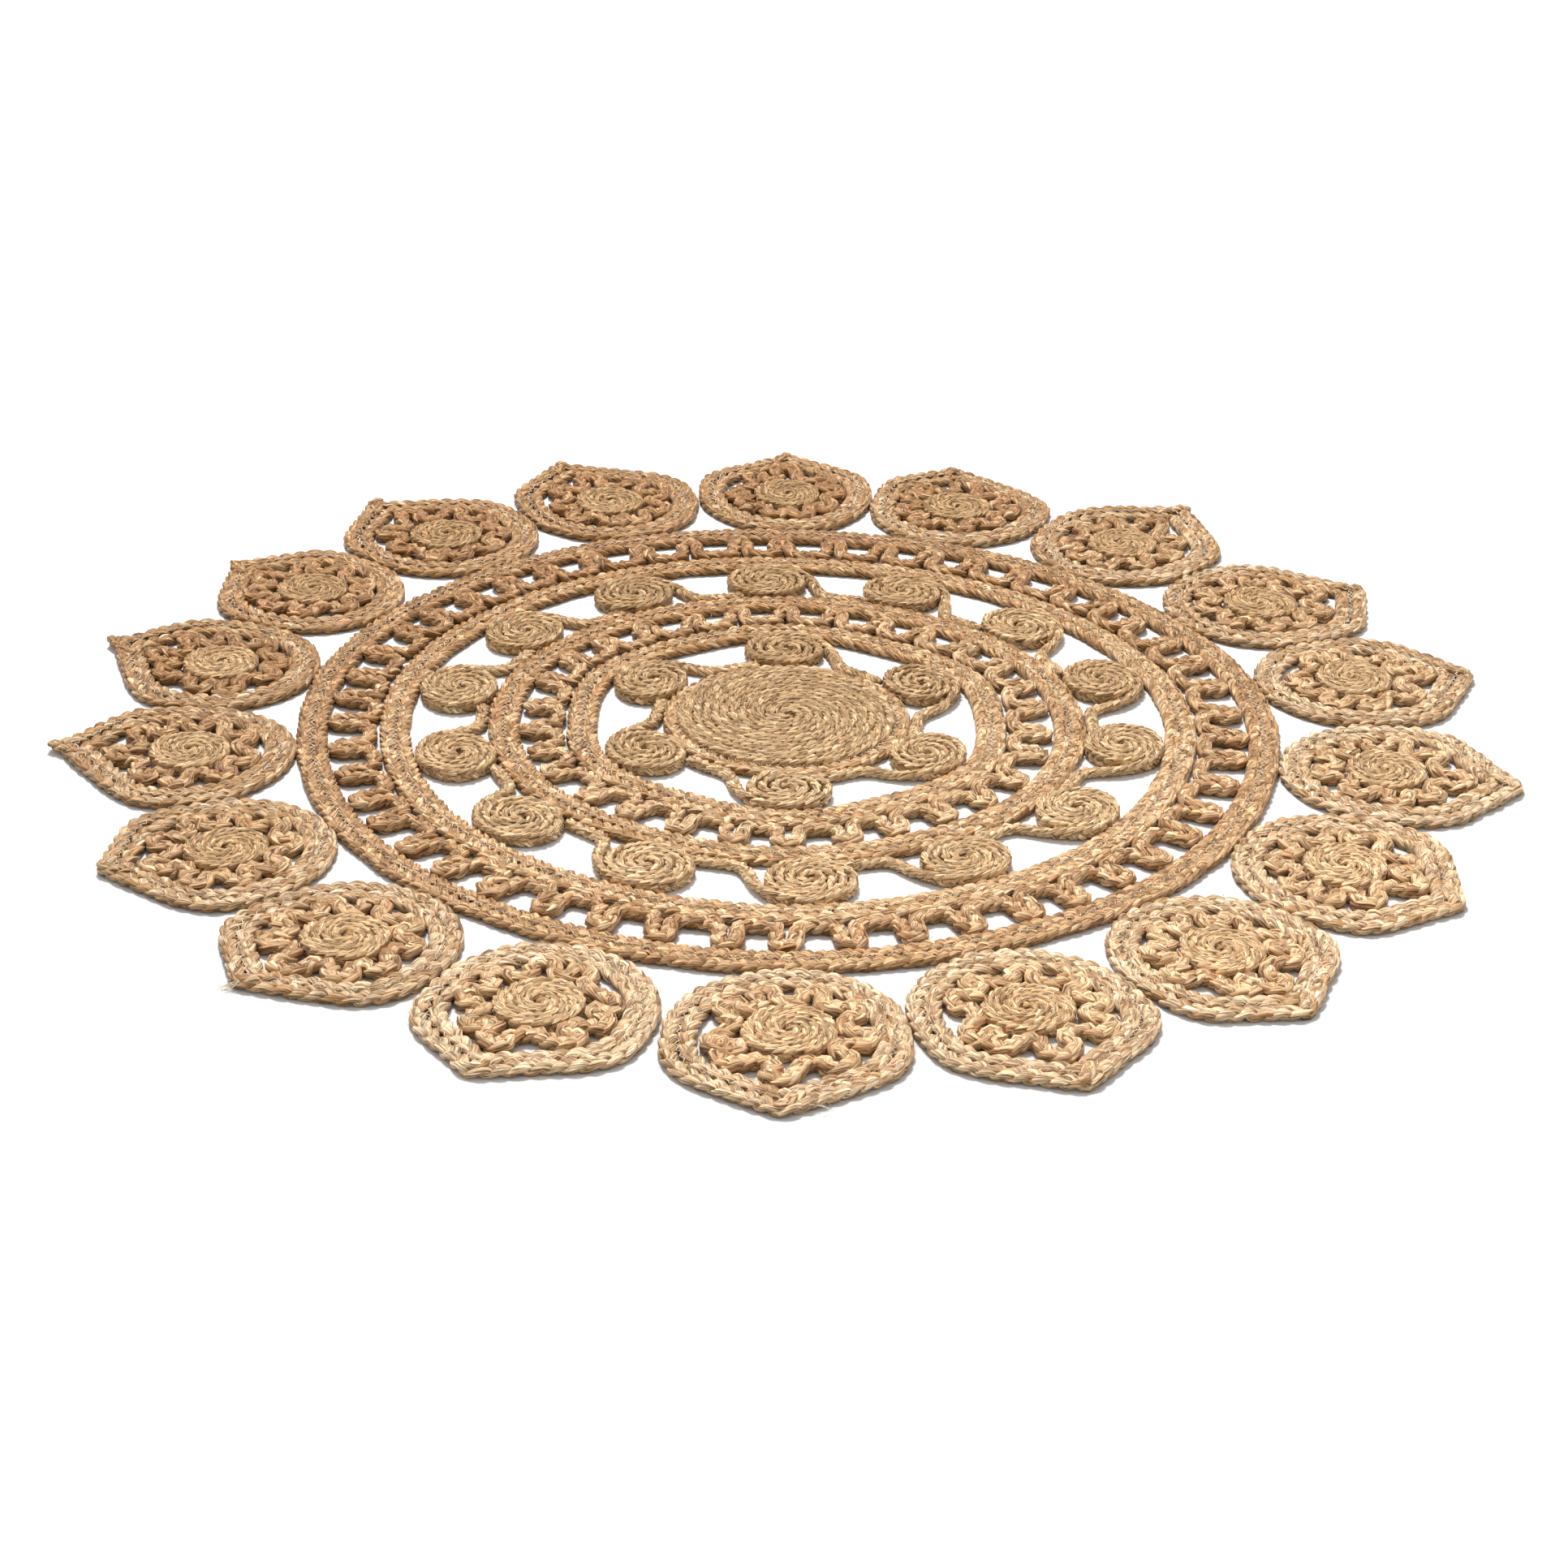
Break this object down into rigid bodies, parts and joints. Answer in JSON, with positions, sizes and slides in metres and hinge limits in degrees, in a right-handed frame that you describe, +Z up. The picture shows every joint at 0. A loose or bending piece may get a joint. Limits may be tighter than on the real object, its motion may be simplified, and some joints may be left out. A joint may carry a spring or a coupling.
{
  "type": "area rug",
  "caption": "Round openwork rug of plaited natural jute: a coiled centre, scrolls between rings of looped braid, and pointed petals round the edge.",
  "frame": {"origin": "centre of the rug, on the floor under it", "axes": "+Z up, +Y towards the tip of the first petal, +X to the right of it"},
  "size_m": [1.4714, 1.494, 0.014],
  "materials": {
    "jute_flat": "matt",
    "jute_coil": "matt",
    "jute_loop": "matt",
    "jute_brown": "matt",
    "jute_petal": "slight sheen",
    "seam_thread": "matt"
  },
  "bodies": {
    "root": {"centre_coil": "jute_coil", "centre_wrap": "jute_flat", "inner_scroll_01": "jute_coil", "inner_scroll_02": "jute_coil", "inner_scroll_03": "jute_coil", "inner_scroll_04": "jute_coil", "inner_scroll_05": "jute_coil", "inner_scroll_06": "jute_coil", "inner_ring_row_1": "jute_flat", "inner_ring_row_2": "jute_flat", "inner_ring_loops": "jute_loop", "inner_ring_row_3": "jute_flat", "inner_ring_row_4": "jute_flat", "outer_scroll_01": "jute_coil", "outer_scroll_02": "jute_coil", "outer_scroll_03": "jute_coil", "outer_scroll_04": "jute_coil", "outer_scroll_05": "jute_coil", "outer_scroll_06": "jute_coil", "outer_scroll_07": "jute_coil", "outer_scroll_08": "jute_coil", "outer_scroll_09": "jute_coil", "outer_scroll_10": "jute_coil", "outer_scroll_11": "jute_coil", "outer_scroll_12": "jute_coil", "outer_scroll_13": "jute_coil", "outer_scroll_14": "jute_coil", "outer_ring_row_1": "jute_flat", "outer_ring_row_2": "jute_flat", "outer_ring_loops": "jute_loop", "outer_ring_row_3": "jute_brown", "outer_ring_row_4": "jute_brown", "petal_border_01": "jute_petal", "petal_border_02": "jute_petal", "petal_border_03": "jute_petal", "petal_border_04": "jute_petal", "petal_border_05": "jute_petal", "petal_border_06": "jute_petal", "petal_border_07": "jute_petal", "petal_border_08": "jute_petal", "petal_border_09": "jute_petal", "petal_border_10": "jute_petal", "petal_border_11": "jute_petal", "petal_border_12": "jute_petal", "petal_border_13": "jute_petal", "petal_border_14": "jute_petal", "petal_border_15": "jute_petal", "petal_border_16": "jute_petal", "petal_border_17": "jute_petal", "petal_border_18": "jute_petal", "petal_loops": "jute_loop", "petal_coils": "jute_coil", "thread_centre": "seam_thread", "thread_inner_ring": "seam_thread", "thread_outer_ring": "seam_thread", "thread_petals": "seam_thread"}
  },
  "joints": []
}
